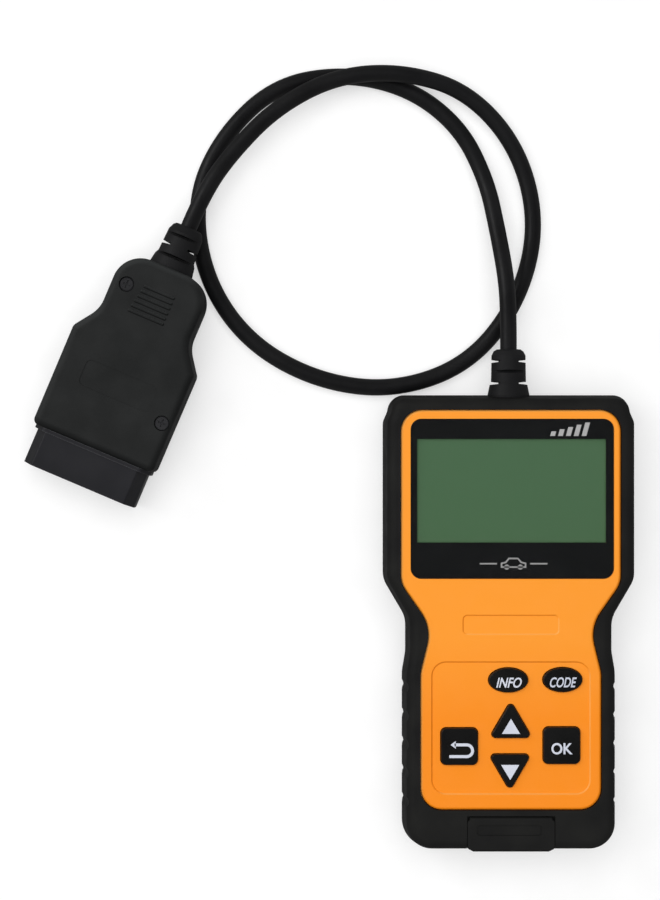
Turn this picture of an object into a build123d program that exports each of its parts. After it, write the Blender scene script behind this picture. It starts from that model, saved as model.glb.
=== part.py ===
from build123d import *
import math
import os

# A handheld OBD code reader with a fixed lead that ends in a vehicle diagnostic plug, in millimetres.
# The frame: the origin is the centre of the face that the reader rests on, +Z points out of the
# screen, +Y along the reader towards its lead, and +X to the right of someone reading the screen.
# The plug and the lead lie on the same surface as the reader, beyond its upper end.

# ---------------------------------------------------------------- driving dimensions
READER_TOP = 75.2        # end face where the lead leaves
READER_END = -73.7       # end face with the port
HEAD_HALF = 41.4         # half width round the screen
WAIST_HALF = 34.0        # half width of the waist
GRIP_HALF = 35.1         # half width of the grip
READER_HEIGHT = 25.0     # back to the crest of the boot's rim
BELLY_Z = 12.5           # the boot is widest at this height
UPPER_DRAFT = 1.5        # how much each side has come in at the crest
LOWER_DRAFT = 0.6        # and at the back
FACE_Z = 24.2            # the orange face
SPLIT_Z = 12.55          # where the two shells meet
BOOT_WALL = 3.0
SHELL_WALL = 2.0
SLACK = 0.1              # between the boot and the shells inside it
BOOT_FLOOR = 1.6         # the boot's skin on the back
REAR_INSET = 7.0         # the boot's border round its opening at the back
LIP_Z = 22.4             # underside of the boot's front rim
PLATE_Z = 22.0           # underside of the front shell's face
FLANGE_Z = 20.4          # underside of the front shell's border

WINDOW = (66.1, 52.05, 3.5)          # width, height, corner radius
WINDOW_X = 0.45
WINDOW_Y = 41.3
WINDOW_Z = 23.0                      # floor of the window's seat
MASK_THICK = 0.2
SCREEN = (61.4, 33.7)                # what is seen of the liquid crystal
SCREEN_X = 0.25
SCREEN_Y = 43.9

BOARD_Z = 13.9                       # underside of the circuit board
BOARD_TOP = 15.5
BOARD_INSET = 6.2
MAT_TOP = 16.3

KEY_TOP = 25.4
KEY_FLANGE = (20.6, 21.7)            # lowest and highest Z of a key's retaining flange
KEY_GAP = 0.25                       # round a key in its hole
KEY_STEM = 2.0                       # radius of the plunger under a key
KEY_STEM_Z = 16.8
FIELD = (51.8, 43.3, 4.8)            # the sunken field round the keys
FIELD_Y = -33.1
FIELD_DEPTH = 0.4

HOUSING_SCREWS = [(31.5, 65.3), (-31.5, 65.3), (22.5, -61.0), (-22.5, -61.0)]
BOARD_SCREWS = [(30.0, 19.8), (-30.0, 19.8), (24.0, -8.0), (-24.0, -8.0)]
SCREW_R = 1.1
SCREW_HOLE_R = 1.15

FLAP_HALF = 14.1                     # half width of the port cover
FLAP_OUT = -74.6                     # its outer face where it is proudest
FLAP_THICK = 1.25
FLAP_HINGE = (-62.9, 23.95)          # Y and Z of its hinge line
FLAP_BEAD = 0.95
FLAP_GAP = 0.2

CABLE_D = 5.5
CABLE_Z = 13.5                       # height of the lead where it leaves the reader
RELIEF_LENGTH = 15.0
READER_RELIEF = [(6.9, -0.95), (6.9, 0), (6.2, 3.4), (5.75, 4.6), (5.6, 13.0), (4.9, 14.4), (4.0, 15.0)]
PLUG_RELIEF = [(7.6, 0), (7.0, 3.4), (6.35, 4.6), (5.95, 12.5), (5.1, 14.4), (4.4, 15.0)]
LAST_RUN = 13.0                      # the lead's straight run into the plug's relief

PLUG_TIP = (-141.33, 45.82)           # centre of the plug's mouth on the floor plan
PLUG_TURN = -23.0                    # degrees about Z: the plug's axis, from +Y
PLUG_Z = 11.5                        # height of the plug's axis
PLUG_HALF_HEIGHT = 11.5
PLUG_WALL = 1.8
PLUG_DRAFT = 0.8         # how much each side comes in at the top and the bottom
PLUG_FRONT = 13.0                    # along the plug's axis, from the mouth
PLUG_BACK = 76.9
PLUG_SCREWS = [(-10.4, 66.5), (17.8, 29.3)]
SHROUD = (39.2, 32.8, 16.5)          # wide side, narrow side, height of the standard mouth
SHROUD_WALL = 1.3
PIN_PITCH = 4.0
PIN_ROW = 4.2                        # half the distance between the two rows
PIN_BLADE = (1.5, 0.8)               # width, thickness


# The lead's route, from the reader's strain relief to the plug's: corners of its centre line. It
# rises a little over its own first turn, comes down to the surface for a turn and a half, and climbs
# on to that turn again before the plug.
ROUTE = [
    (0.0, 90.2, 13.5),
    (0.0, 101.0, 13.5),
    (-0.6, 113.0, 13.5),
    (-3.2, 130.0, 8.0),
    (-6.6, 147.3, 3.4),
    (-15.4, 165.0, 2.75),
    (-32.0, 177.9, 2.75),
    (-54.0, 182.9, 2.75),
    (-77.3, 178.8, 2.75),
    (-95.3, 161.2, 2.75),
    (-104.2, 140.0, 2.75),
    (-100.5, 114.3, 2.75),
    (-86.5, 93.4, 2.75),
    (-63.8, 80.4, 2.75),
    (-38.0, 76.8, 2.75),
    (-12.8, 85.4, 2.75),
    (4.0, 106.1, 2.75),
    (10.6, 132.0, 2.75),
    (4.3, 157.8, 2.75),
    (-12.7, 176.7, 4.5),
    (-35.0, 182.6, 8.9),
    (-57.0, 181.0, 8.9),
    (-76.8, 170.5, 8.9),
    (-91.2, 155.7, 9.2),
]


# ---------------------------------------------------------------- small helpers
def outline(corners, radii, inset=0.0):
    """Face inside a closed clockwise line with rounded corners, every side moved in by inset."""
    points = []
    rounds = []
    for number, corner in enumerate(corners):
        here = Vector(*corner)
        arriving = (here - Vector(*corners[number - 1])).normalized()
        leaving = (Vector(*corners[(number + 1) % len(corners)]) - here).normalized()
        inward = Vector(arriving.Y, -arriving.X)
        inward_next = Vector(leaving.Y, -leaving.X)
        moved = here + (inward + inward_next) * (inset / (1 + inward.dot(inward_next)))
        points.append((moved.X, moved.Y))
        outer_corner = arriving.cross(leaving).Z < 0
        change = -inset if outer_corner else inset
        rounds.append(max(radii[number] + change, 0.8) if radii[number] else 0.0)
    return make_face(FilletPolyline(*points, radius=rounds, close=True))


def mirrored(right, radii, inset=0.0):
    """Face from its right-hand corners, top to bottom, mirrored about the line X = 0."""
    left = [(-x, y) for x, y in reversed(right)]
    return outline(right + left, radii + radii[::-1], inset)


def prism(face, z0, z1):
    """The solid between two heights over a face in the XY plane."""
    return extrude(Pos(0, 0, z0) * face, amount=z1 - z0, dir=(0, 0, 1))


def block(x0, x1, y0, y1, z0, z1):
    """Box between two corners."""
    middle = ((x0 + x1) / 2, (y0 + y1) / 2, (z0 + z1) / 2)
    return Pos(*middle) * Box(x1 - x0, y1 - y0, z1 - z0)


def post(x, y, z0, z1, radius):
    """Upright cylinder."""
    return Pos(x, y, (z0 + z1) / 2) * Cylinder(radius, z1 - z0)


def along_y(x, z, y0, y1, radius):
    """Cylinder along Y."""
    return Pos(x, (y0 + y1) / 2, z) * Rot(90, 0, 0) * Cylinder(radius, y1 - y0)


def along_x(y, z, x0, x1, radius):
    """Cylinder along X."""
    return Pos((x0 + x1) / 2, y, z) * Rot(0, 90, 0) * Cylinder(radius, x1 - x0)


def across_x(face, x0, x1):
    """Solid over a face whose first axis is the frame's Y and whose second is its Z."""
    return Plane(origin=(x0, 0, 0), x_dir=(0, 1, 0), z_dir=(1, 0, 0)) * extrude(face, amount=x1 - x0)


def joined(solids):
    """One solid from several that touch or overlap."""
    whole = solids[0]
    for solid in solids[1:]:
        whole = whole + solid
    return whole


def top_edges(solid):
    return solid.edges().group_by(Axis.Z)[-1]


def bottom_edges(solid):
    return solid.edges().group_by(Axis.Z)[0]


def tube(points, radii, radius):
    """Round tube along straight runs joined by tangent arcs."""
    path = FilletPolyline(*points, radius=radii)
    start = Plane(origin=points[0], z_dir=Vector(*points[1]) - Vector(*points[0]))
    return sweep(start * Circle(radius), path=path)


def save(name, shape):
    """Write one sub-part."""
    solids = shape.solids()
    whole = solids[0] if len(solids) == 1 else Compound(children=list(solids))
    export_step(whole, f"parts/{name}.step")


# ---------------------------------------------------------------- outlines of the reader
def boot_face(inset=0.0):
    """The reader's outline: a wide head with a bumper on each side, a waist and a straight grip."""
    right = [
        (38.9, READER_TOP),
        (40.0, 69.6),
        (HEAD_HALF, 66.5),
        (HEAD_HALF, 14.8),
        (WAIST_HALF, 2.2),
        (WAIST_HALF, -9.0),
        (GRIP_HALF, -15.5),
        (GRIP_HALF, READER_END),
    ]
    return mirrored(right, [5.5, 4.5, 5.0, 9.0, 9.0, 12.0, 12.0, 9.5], inset)


def body_face(inset):
    """The same outline without the step of the bumpers, moved in."""
    right = [
        (HEAD_HALF, READER_TOP),
        (HEAD_HALF, 14.8),
        (WAIST_HALF, 2.2),
        (WAIST_HALF, -9.0),
        (GRIP_HALF, -15.5),
        (GRIP_HALF, READER_END),
    ]
    return mirrored(right, [8.0, 9.0, 9.0, 12.0, 12.0, 9.5], inset)


def front_face(inset=0.0):
    """The outline of the orange face inside the boot's rim."""
    right = [
        (35.75, 70.2),
        (35.75, 13.8),
        (25.8, -0.4),
        (29.4, -15.3),
        (29.35, -59.7),
    ]
    return mirrored(right, [7.0, 9.0, 13.0, 12.0, 7.0], inset)


def window_face(inset=0.0):
    width, height, radius = WINDOW
    return Pos(WINDOW_X, WINDOW_Y) * RectangleRounded(width - 2 * inset, height - 2 * inset, radius - inset)


# ---------------------------------------------------------------- keys
def oval_key(grow):
    return Ellipse(6.35 + grow, 3.92 + grow)


def up_key(grow):
    """Triangle with rounded corners that points along +Y."""
    return outline([(0, 7.5), (6.95, -4.4), (-6.95, -4.4)], [1.2] * 3, -grow)


def down_key(grow):
    return Rot(0, 0, 180) * up_key(grow)


def square_key(grow):
    return RectangleRounded(11.9 + 2 * grow, 11.9 + 2 * grow, 1.7 + grow)


# name: centre, and the function that draws its face
KEYS = {
    "info": (-0.9, -17.5, oval_key),
    "code": (16.7, -17.4, oval_key),
    "up": (-0.1, -31.8, up_key),
    "down": (-0.35, -45.95, down_key),
    "back": (-16.8, -39.0, square_key),
    "ok": (16.4, -38.7, square_key),
}


def key_cap(x, y, face):
    """Key with a rounded top, a flange that keeps it under the face, and a plunger."""
    cap = prism(face(0), KEY_FLANGE[0], KEY_TOP)
    cap = fillet(top_edges(cap), 0.5)
    flange = prism(face(0.8), *KEY_FLANGE)
    stem = post(0, 0, KEY_STEM_Z, KEY_FLANGE[0] + 0.2, KEY_STEM)
    return Pos(x, y, 0) * joined([cap, flange, stem])


def key_dome(x, y):
    """Thin silicone cone that pushes a key back up; the key presses it flat."""
    height = KEY_FLANGE[0] - MAT_TOP
    middle = (KEY_FLANGE[0] + MAT_TOP) / 2
    outer = Cone(4.6, 3.5, height)
    inner = Cone(4.2, 3.1, height)
    return Pos(x, y, middle) * (outer - inner)


# ---------------------------------------------------------------- the reader's cases
def port_hole(grow=0.0):
    """The way in for a data plug through the end walls, under the cover."""
    return block(-4.6 - grow, 4.6 + grow, -76, -68, 9.4 - grow, 14.5 + grow)


def boot_block():
    """The boot before it is hollowed: widest at mid-height, its crest and its back rounded."""
    belly = Pos(0, 0, BELLY_Z) * boot_face()
    crest = Pos(0, 0, READER_HEIGHT) * boot_face(UPPER_DRAFT)
    back = boot_face(LOWER_DRAFT)
    upper = loft([belly, crest], ruled=True)
    lower = loft([back, belly], ruled=True)
    whole = fillet(top_edges(upper + lower), 3.0)
    return fillet(bottom_edges(whole), 3.0)


def grip_valley(side, y):
    """A shallow upright furrow in the grip that leans with its side."""
    middle = Pos(side * (GRIP_HALF + 2.5), y, BELLY_Z)
    upper_lean = -side * math.degrees(math.atan2(UPPER_DRAFT, READER_HEIGHT - BELLY_Z))
    lower_lean = side * math.degrees(math.atan2(LOWER_DRAFT, BELLY_Z))
    upper = Rot(0, upper_lean, 0) * post(0, 0, 0, 15, 3.0)
    lower = Rot(0, lower_lean, 0) * post(0, 0, -14, 0, 3.0)
    return middle * (upper + lower)


def flap_bed():
    """The room for the port cover's leg in the end of the boot, leaning with the end face."""
    flap_room = FLAP_HALF + FLAP_GAP
    bed_y = FLAP_OUT + FLAP_THICK + 0.1
    lean = UPPER_DRAFT / (READER_HEIGHT - BELLY_Z)
    top_y = bed_y + lean * (27 - BELLY_Z)
    profile = Polyline((-78, 8.3), (bed_y, 8.3), (bed_y, BELLY_Z), (top_y, 27), (-78, 27), close=True)
    return across_x(make_face(profile), -flap_room, flap_room)


def make_boot():
    boot = boot_block()
    boot -= prism(body_face(BOOT_WALL), BOOT_FLOOR, LIP_Z)
    boot -= prism(front_face(-SLACK), LIP_Z - 1, READER_HEIGHT + 1)
    boot -= prism(body_face(REAR_INSET), -1, BOOT_FLOOR + 1)
    for side in (-1, 1):
        for step in range(5):
            boot -= grip_valley(side, -20.0 - 9.3 * step)
    flap_room = FLAP_HALF + FLAP_GAP
    boot -= block(-flap_room, flap_room, -78, FLAP_HINGE[0] + 1.3, FLAP_HINGE[1] - 1.05, 27)
    boot -= flap_bed()
    boot -= port_hole(0.5)
    boot -= along_y(0, CABLE_Z, 68, 78, 4.75)
    boot -= along_y(0, CABLE_Z, READER_TOP - 1.0, 78, 6.95)
    return boot


def dish(width, height, radius, depth):
    """Shallow rounded rectangle to sink into the orange face, with sloping sides."""
    slope = 0.45
    low = RectangleRounded(width - 2 * slope, height - 2 * slope, radius - slope)
    high = RectangleRounded(width + 2 * slope, height + 2 * slope, radius + slope)
    return loft([Pos(0, 0, FACE_Z - depth) * low, Pos(0, 0, FACE_Z + depth) * high], ruled=True)


def make_rear_shell():
    outer = body_face(BOOT_WALL + SLACK)
    inner = body_face(BOOT_WALL + SLACK + SHELL_WALL)
    floor_z = BOOT_FLOOR + SLACK
    shell = prism(outer, floor_z, SPLIT_Z) - prism(inner, floor_z + SHELL_WALL, SPLIT_Z + 1)
    shell += prism(body_face(REAR_INSET + 0.15), 0.5, floor_z + 0.5)
    for x, y in HOUSING_SCREWS:
        shell += post(x, y, floor_z + 1, SPLIT_Z, 3.4)
    for x, y in HOUSING_SCREWS:
        shell -= post(x, y, 0, 2.9, 2.6)
        shell -= post(x, y, 0, 20, 1.35)
    shell -= port_hole()
    shell -= along_y(0, CABLE_Z, 68, 78, 4.75)
    return shell


def make_front_shell():
    outer = body_face(BOOT_WALL + SLACK)
    inner = body_face(BOOT_WALL + SLACK + SHELL_WALL)
    face = prism(front_face(), FLANGE_Z, FACE_Z)
    face = fillet(top_edges(face), 1.0)
    shell = joined([face, prism(outer, FLANGE_Z, LIP_Z - SLACK)])
    shell -= prism(front_face(1.8), FLANGE_Z - 1, PLATE_Z)
    shell += prism(outer, SPLIT_Z, FLANGE_Z) - prism(inner, SPLIT_Z - 1, FLANGE_Z + 1)
    for x, y in HOUSING_SCREWS:
        shell += post(x, y, SPLIT_Z, PLATE_Z + 0.1, 2.4)
    for x, y in BOARD_SCREWS:
        shell += post(x, y, BOARD_TOP, PLATE_Z + 0.1, 2.2)
    for x, y in HOUSING_SCREWS:
        shell -= post(x, y, SPLIT_Z - 1, 19.4, SCREW_HOLE_R)
    for x, y in BOARD_SCREWS:
        shell -= post(x, y, BOARD_TOP - 1, 20.0, 0.95)
    shell -= prism(window_face(), WINDOW_Z, FACE_Z + 1)
    opening = RectangleRounded(SCREEN[0] + 0.4, SCREEN[1] + 0.4, 0.5)
    shell -= prism(Pos(SCREEN_X, SCREEN_Y) * opening, PLATE_Z - 1, FACE_Z)
    shell -= Pos(0, FIELD_Y) * dish(*FIELD, FIELD_DEPTH)
    shell -= Pos(0, 0.4) * dish(31.5, 6.6, 1.6, 0.3)
    for x, y, key in KEYS.values():
        shell -= Pos(x, y, 0) * prism(key(KEY_GAP), PLATE_Z - 1, FACE_Z + 1)
    shell -= port_hole()
    shell -= along_y(0, CABLE_Z, 68, 78, 4.75)
    return shell


def make_port_cover():
    """Rubber cover over the port: a flat tab on the front and a leg down the end face."""
    inner_y, hinge_z = FLAP_HINGE
    top_z = hinge_z + FLAP_BEAD
    lean = UPPER_DRAFT / (READER_HEIGHT - BELLY_Z)
    leg_y = FLAP_OUT + FLAP_THICK
    profile = [
        (FLAP_OUT, 8.6),
        (FLAP_OUT, BELLY_Z),
        (FLAP_OUT + lean * (top_z - BELLY_Z), top_z),
        (inner_y, top_z),
        (inner_y, hinge_z - FLAP_BEAD),
        (leg_y + lean * (hinge_z - FLAP_BEAD - BELLY_Z), hinge_z - FLAP_BEAD),
        (leg_y, BELLY_Z),
        (leg_y, 8.6),
    ]
    radii = [0.6, 0.0, 0.9, 0.0, 0.0, 0.0, 0.0, 0.0]
    cover = across_x(make_face(FilletPolyline(*profile, radius=radii, close=True)), -FLAP_HALF, FLAP_HALF)
    cover = cover & prism(mirrored([(FLAP_HALF, inner_y), (FLAP_HALF, -80)], [0.9, 0.0]), 0, 30)
    cut_corners = mirrored([(FLAP_HALF, 20), (FLAP_HALF, 0.95), (FLAP_HALF - 3.0, -0.55)], [0.0, 0.3, 0.0])
    leaning = prism(cut_corners, -0.1, 20)
    leaning = Pos(0, FLAP_OUT, BELLY_Z) * Rot(-math.degrees(math.atan(lean)), 0, 0) * leaning
    upright = Pos(0, FLAP_OUT, 0) * prism(cut_corners, 0, BELLY_Z)
    cover = (cover & leaning) + (cover & upright)
    bead_half = FLAP_HALF - 0.6
    cover += chamfer(along_x(inner_y, hinge_z, -bead_half, bead_half, FLAP_BEAD).edges(), 0.3)
    nail = Pos(-0.6, -66.2) * RectangleRounded(21.0, 3.4, 1.0)
    cover -= prism(nail, top_z - 0.5, 30)
    cover += block(-4.2, 4.2, -73.6, -72.6, 10.2, 13.8)
    return cover


# ---------------------------------------------------------------- screen and circuit board
def make_window():
    return prism(window_face(0.05), WINDOW_Z + MASK_THICK, FACE_Z)


def make_mask():
    """Printed black border under the window, open over the screen."""
    mask = prism(window_face(0.05), WINDOW_Z, WINDOW_Z + MASK_THICK)
    return mask - prism(Pos(SCREEN_X, SCREEN_Y) * Rectangle(*SCREEN), WINDOW_Z - 1, FACE_Z)


def make_lcd_pins():
    pins = [block(x - 0.25, x + 0.25, 24.1, 24.6, BOARD_TOP, 20.2) for x in spread(16, 2.54)]
    return Compound(children=pins)


def spread(count, pitch):
    """Evenly spaced values about zero."""
    return [(i - (count - 1) / 2) * pitch for i in range(count)]


def make_board():
    board = prism(body_face(BOARD_INSET), BOARD_Z, BOARD_TOP)
    for x, y in HOUSING_SCREWS:
        board -= post(x, y, 10, 20, 2.8)
    for x, y in BOARD_SCREWS:
        board -= post(x, y, 10, 20, 1.1)
    return board - block(-8, 8, 65.8, 80, 10, 20)


def make_microcontroller():
    """Flat square package with a row of leads on each side."""
    size = 10.0
    chip = block(-size / 2, size / 2, -size / 2, size / 2, BOARD_Z - 1.4, BOARD_Z - 0.1)
    chip = chamfer(bottom_edges(chip), 0.3)
    for turn in range(4):
        for x in spread(12, 0.75):
            lead = block(x - 0.15, x + 0.15, size / 2 - 0.2, size / 2 + 1.0, BOARD_Z - 0.5, BOARD_Z)
            chip += Rot(0, 0, 90 * turn) * lead
    return Pos(0, -6, 0) * chip


def make_small_chip(x, y, length, width, leads):
    """Small package with leads along both long sides, under the board."""
    body = block(-length / 2, length / 2, -width / 2, width / 2, BOARD_Z - 1.6, BOARD_Z - 0.1)
    for side in (-1, 1):
        for pin_x in spread(leads, 1.27):
            near = side * (width / 2 - 0.2)
            far = side * (width / 2 + 1.0)
            body += block(pin_x - 0.2, pin_x + 0.2, min(near, far), max(near, far), BOARD_Z - 0.6, BOARD_Z)
    return Pos(x, y, 0) * body


def make_capacitor(x, y, radius, height):
    """Electrolytic can with a square foot, hanging under the board."""
    can = post(0, 0, BOARD_Z - height, BOARD_Z - 0.7, radius)
    can = fillet(bottom_edges(can), 0.4)
    foot = block(-radius - 0.15, radius + 0.15, -radius - 0.15, radius + 0.15, BOARD_Z - 0.8, BOARD_Z)
    return Pos(x, y, 0) * (can + foot)


def make_crystal():
    body = prism(Pos(-16, -6) * Rot(0, 0, 90) * SlotOverall(11.0, 4.6), BOARD_Z - 3.4, BOARD_Z)
    return fillet(bottom_edges(body), 0.4)


def make_regulator():
    body = block(12, 18.6, 2, 8.0, BOARD_Z - 2.3, BOARD_Z)
    tab = block(12.6, 18.0, 7.8, 10.2, BOARD_Z - 0.6, BOARD_Z)
    legs = [block(15.3 + x - 0.4, 15.3 + x + 0.4, -0.6, 2.1, BOARD_Z - 0.6, BOARD_Z) for x in (-2.3, 2.3)]
    return joined([body, tab] + legs)


def make_buzzer():
    can = post(17, 36, BOARD_Z - 5.4, BOARD_Z, 5.8)
    can = fillet(bottom_edges(can), 0.5)
    return can - post(17, 36, BOARD_Z - 6, BOARD_Z - 3.5, 1.0)


def make_cable_header():
    header = block(-7.2, 7.2, 56.8, 62.8, BOARD_Z - 6.6, BOARD_Z)
    slot = block(-6.2, 6.2, 58.0, 61.6, BOARD_Z - 7, BOARD_Z - 3.2)
    for x in spread(6, 2.0):
        header -= along_y(x, BOARD_Z - 2.0, 61, 64, 0.62)
    return header - slot


def make_lead_wires():
    """The lead's cores, from the strain relief down to the header on the board."""
    wires = []
    for x in spread(6, 2.0):
        start_x = x * 0.55
        height = BOARD_Z - 2.0
        points = [(start_x, 67.9, CABLE_Z), (start_x, 66.6, CABLE_Z), (x, 64.4, height), (x, 61.2, height)]
        wires.append(tube(points, [0.9, 0.9], 0.5))
    return Compound(children=[wire.solid() for wire in wires])


def make_usb_socket():
    shell = block(-3.85, 3.85, -70.6, -61.6, BOARD_Z - 3.9, BOARD_Z)
    shell -= block(-3.4, 3.4, -71, -63.0, BOARD_Z - 3.5, BOARD_Z - 0.4)
    return shell + block(-2.6, 2.6, -69.8, -62.5, BOARD_Z - 2.3, BOARD_Z - 1.5)


def make_keypad_mat():
    """Silicone sheet on the board under the keys, with a hole at each key."""
    mat = prism(Pos(0, -33.4) * RectangleRounded(50.0, 43.6, 3.0), BOARD_TOP, MAT_TOP)
    for x, y, _ in KEYS.values():
        mat -= post(x, y, 10, 20, 3.9)
    return mat


def make_pan_screw(x, y, head_z, tip_z, shank, head, head_high):
    """Screw driven upwards, its head at the low end with a cross recess."""
    body = post(0, 0, head_z, head_z + head_high, head)
    body = fillet(bottom_edges(body), head_high * 0.35)
    body += post(0, 0, head_z, tip_z, shank)
    arm = head * 0.55
    body -= block(-arm, arm, -0.22, 0.22, head_z - 1, head_z + 0.6)
    body -= block(-0.22, 0.22, -arm, arm, head_z - 1, head_z + 0.6)
    return Pos(x, y, 0) * body


def make_housing_screws():
    screws = [make_pan_screw(x, y, 1.4, 18.4, SCREW_R, 2.2, 1.5) for x, y in HOUSING_SCREWS]
    return Compound(children=[screw.solid() for screw in screws])


def make_board_screws():
    screws = [make_pan_screw(x, y, 12.6, 19.4, 0.9, 1.9, 1.3) for x, y in BOARD_SCREWS]
    return Compound(children=[screw.solid() for screw in screws])


# ---------------------------------------------------------------- strain reliefs and the lead
def make_relief(outside, quarter_turn):
    """Ribbed strain relief along +Y from the wall at Y = 0, with its plug of rubber behind the wall.

    The outside is a list of radii and places along Y, from the collar to the tip.
    Each cut leaves a core a little thicker than the lead, and the next cut is a quarter turn on.
    """
    core = CABLE_D / 2 + 0.25
    anchor = [(0, -7.3), (5.9, -7.3), (5.9, -5.3), (4.6, -5.3), (4.6, outside[0][1])]
    profile = anchor + outside + [(0, RELIEF_LENGTH)]
    relief = revolve(make_face(Polyline(*profile, close=True)), axis=Axis.Y)
    wedge = make_face(Polyline((core, -0.3), (12, -0.95), (12, 0.95), (core, 0.3), close=True))
    slit = prism(wedge, -12, 12)
    for number, cut_y in enumerate((3.9, 7.7, 11.1)):
        turn = 90 if (number % 2 == 0) == quarter_turn else 0
        for side in (0, 180):
            relief -= Pos(0, cut_y, 0) * Rot(0, turn + side, 0) * slit
    return relief


def route_points():
    """The route with its last run, straight into the plug's strain relief."""
    end = PLUG_BACK + RELIEF_LENGTH
    return ROUTE + [plug_point(0, end + LAST_RUN, PLUG_Z), plug_point(0, end, PLUG_Z)]


def route_radii(points):
    """The largest arc at each corner that 0.45 of the shorter run beside it allows."""
    runs = [Vector(*b) - Vector(*a) for a, b in zip(points, points[1:])]
    radii = []
    for before, after in zip(runs, runs[1:]):
        turn = math.radians(before.get_angle(after))
        shorter = min(before.length, after.length)
        radii.append(0.45 * shorter / math.tan(turn / 2))
    return radii


def make_cable():
    points = route_points()
    radii = route_radii(points)
    print("cable radii", [round(r, 1) for r in radii])
    path = FilletPolyline(*points, radius=radii)
    cable = tube(points, radii, CABLE_D / 2)
    ideal = math.pi * (CABLE_D / 2) ** 2 * path.length
    print("cable length", round(path.length, 1), "volume over ideal", round(cable.volume / ideal, 5))
    return cable


# ---------------------------------------------------------------- the plug, along +Y from its mouth
def plug_place():
    return Pos(*PLUG_TIP, 0) * Rot(0, 0, PLUG_TURN)


def plug_point(across, along, z):
    """A point of the plug in the reader's frame."""
    turn = math.radians(PLUG_TURN)
    x = PLUG_TIP[0] + across * math.cos(turn) - along * math.sin(turn)
    y = PLUG_TIP[1] + across * math.sin(turn) + along * math.cos(turn)
    return (x, y, z)


def plug_face(inset=0.0, narrower=0.0):
    """The housing's outline: wide at the mouth, with shoulders down to a narrow neck."""
    right = [
        (16.15 - narrower, PLUG_BACK),
        (16.15 - narrower, 55.8),
        (22.0 - narrower, 47.6),
        (21.9 - narrower, PLUG_FRONT),
    ]
    return mirrored(right, [9.5, 10.0, 2.5, 2.0], inset)


def mouth_face(grow=0.0):
    """The standard D-shaped mouth, wide side down, in the plane across the plug's axis."""
    wide, narrow, height = SHROUD
    low, high = -height / 2 - grow, height / 2 + grow
    right = [(narrow / 2 + grow, high), (wide / 2 + grow, high - 5.5), (wide / 2 + grow, low)]
    corner = max(0.5, 0.9 + grow)
    radius = max(0.6, 2.2 + grow)
    return mirrored(right, [corner, radius, radius])


def across_axis(face, y0, y1):
    """Solid over a face that stands across the plug's axis, between two places along it."""
    return Pos(0, y0, PLUG_Z) * Rot(90, 0, 0) * extrude(face, amount=-(y1 - y0), dir=(0, 0, 1))


def make_plug_shell(upper):
    """One half of the plug's housing."""
    low, high = (PLUG_Z, 2 * PLUG_HALF_HEIGHT) if upper else (0, PLUG_Z)
    middle = Pos(0, 0, PLUG_Z) * plug_face()
    far_z = 2 * PLUG_HALF_HEIGHT if upper else 0
    far = Pos(0, 0, far_z) * plug_face(0, PLUG_DRAFT)
    whole = loft([middle, far] if upper else [far, middle], ruled=True)
    whole = fillet(top_edges(whole) if upper else bottom_edges(whole), 2.6)
    seam = prism(plug_face(-0.5), PLUG_Z - 0.2, PLUG_Z + 0.2) - prism(plug_face(0.3), 0, 30)
    whole -= seam
    whole -= prism(plug_face(PLUG_WALL, 0.4), PLUG_WALL, 2 * PLUG_HALF_HEIGHT - PLUG_WALL)
    for x, y in PLUG_SCREWS:
        whole += post(x, y, 1, 2 * PLUG_HALF_HEIGHT - 1, 3.6) & prism(plug_face(1.0, PLUG_DRAFT), 0, 30)
    for x, y in PLUG_SCREWS:
        whole -= post(x, y, 2 * PLUG_HALF_HEIGHT - 2.2, 30, 2.5)
        whole -= post(x, y, 4.0, 30, SCREW_HOLE_R)
    whole -= across_axis(mouth_face(0.05), PLUG_FRONT - 2, PLUG_FRONT + PLUG_WALL + 0.5)
    whole -= along_y(0, PLUG_Z, PLUG_BACK - 4, PLUG_BACK + 4, 4.65)
    half = whole & block(-40, 40, 0, 100, low, high)
    return add_ribs(half) if upper else half


def add_ribs(shell):
    """Grip ribs near the neck and a sunken blank pad lower down, on the upper face."""
    top = 2 * PLUG_HALF_HEIGHT
    for number in range(6):
        half = 5.7 + 0.18 * number
        place = Pos(0.5 - 0.18 * number, 68.1 - 1.81 * number, 0)
        foot = Pos(0, 0, top - 0.3) * RectangleRounded(2 * half, 1.5, 0.6)
        crest = Pos(0, 0, top + 0.5) * RectangleRounded(2 * half - 1.1, 0.4, 0.15)
        shell += place * loft([foot, crest], ruled=True)
    pad = prism(Pos(0, 35.0) * RectangleRounded(25.0, 9.0, 2.0), top - 0.3, top + 1)
    return shell - pad


def make_connector_shroud():
    """The standard mouth with its collars: one against the housing, one inside it."""
    body = across_axis(mouth_face(), 0, 19)
    body += across_axis(mouth_face(1.0), PLUG_FRONT - 1.2, PLUG_FRONT)
    collar = Rectangle(SHROUD[1] - 3, SHROUD[2] + 1.4)
    body += across_axis(collar, PLUG_FRONT + PLUG_WALL + 0.1, PLUG_FRONT + PLUG_WALL + 1.3)
    return body - across_axis(mouth_face(-SHROUD_WALL), -1, 20)


def pin_places():
    return [(x, z) for z in (-PIN_ROW, PIN_ROW) for x in spread(8, PIN_PITCH)]


def make_blade(x, z):
    """One flat contact with a pointed tip and a solder tail."""
    width, thick = PIN_BLADE
    blade = block(x - width / 2, x + width / 2, 3.6, 19.0, PLUG_Z + z - thick / 2, PLUG_Z + z + thick / 2)
    tip = blade.edges().filter_by(Axis.Z).sort_by(Axis.Y)[:2]
    blade = chamfer(tip, 0.4)
    tail = block(x - 0.4, x + 0.4, 19.0, 23.5, PLUG_Z + z - thick / 2, PLUG_Z + z + thick / 2)
    return blade + tail


def make_pins():
    return Compound(children=[make_blade(x, z).solid() for x, z in pin_places()])


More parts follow.
